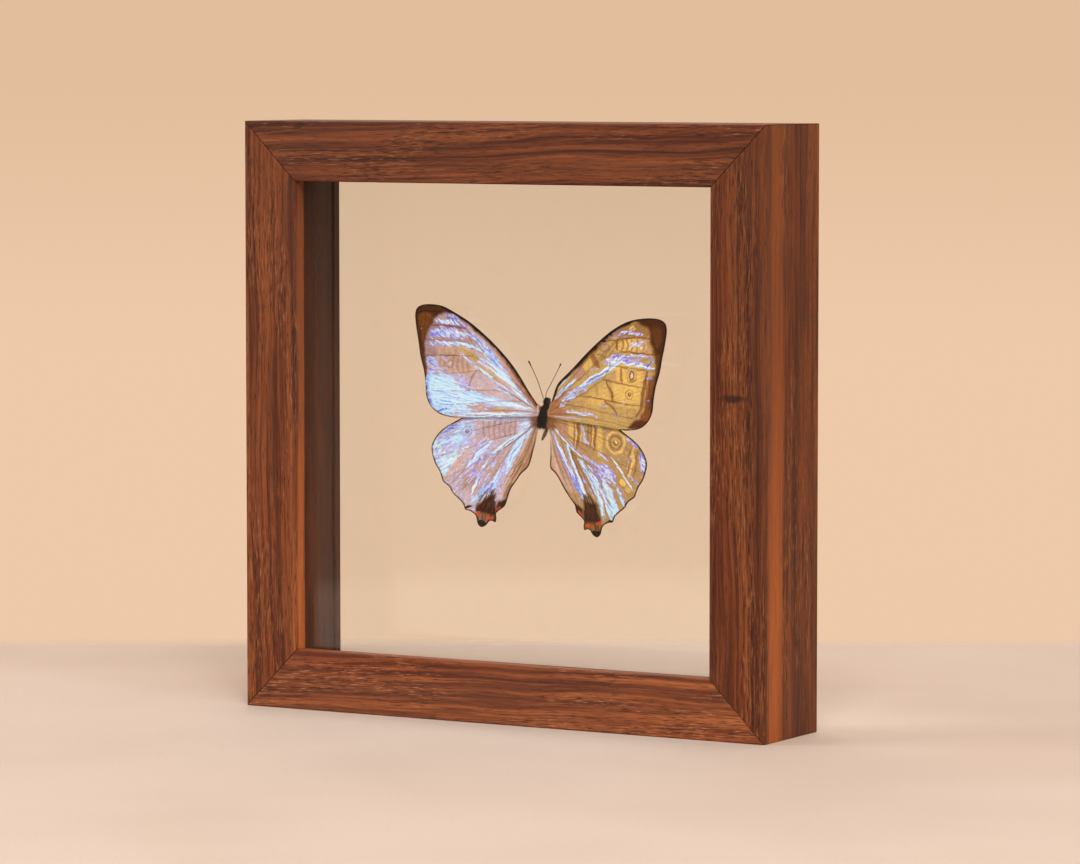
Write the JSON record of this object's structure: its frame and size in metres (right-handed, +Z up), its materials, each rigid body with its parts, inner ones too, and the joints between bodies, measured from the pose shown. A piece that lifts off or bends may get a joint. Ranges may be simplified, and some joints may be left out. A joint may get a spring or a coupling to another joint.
{
  "type": "framed butterfly specimen",
  "caption": "Pearly butterfly with spread wings, held between two panes of glass in a deep square walnut frame that stands on its own foot.",
  "frame": {"origin": "middle of the frame's foot, halfway through its depth", "axes": "+X to the right seen from the front, +Y from the front to the back, +Z up"},
  "size_m": [0.18, 0.034, 0.18],
  "materials": {
    "walnut": "oiled satin",
    "glass": "polished clear",
    "wing": "pearly scales",
    "body_hair": "short black hair",
    "dry_skin": "dried skin",
    "glue": "clear glossy"
  },
  "bodies": {
    "root": {"rail_top": "walnut", "rail_bottom": "walnut", "rail_left": "walnut", "rail_right": "walnut", "spacer_top": "walnut", "spacer_bottom": "walnut", "spacer_left": "walnut", "spacer_right": "walnut", "back_stop_top": "walnut", "back_stop_bottom": "walnut", "back_stop_left": "walnut", "back_stop_right": "walnut", "glass_front": "glass", "glass_back": "glass", "forewing_left": "wing", "forewing_right": "wing", "hindwing_left": "wing", "hindwing_right": "wing", "head": "body_hair", "thorax": "body_hair", "antenna_left": "body_hair", "antenna_right": "body_hair", "abdomen": "dry_skin", "glue_dab": "glue"}
  },
  "joints": []
}
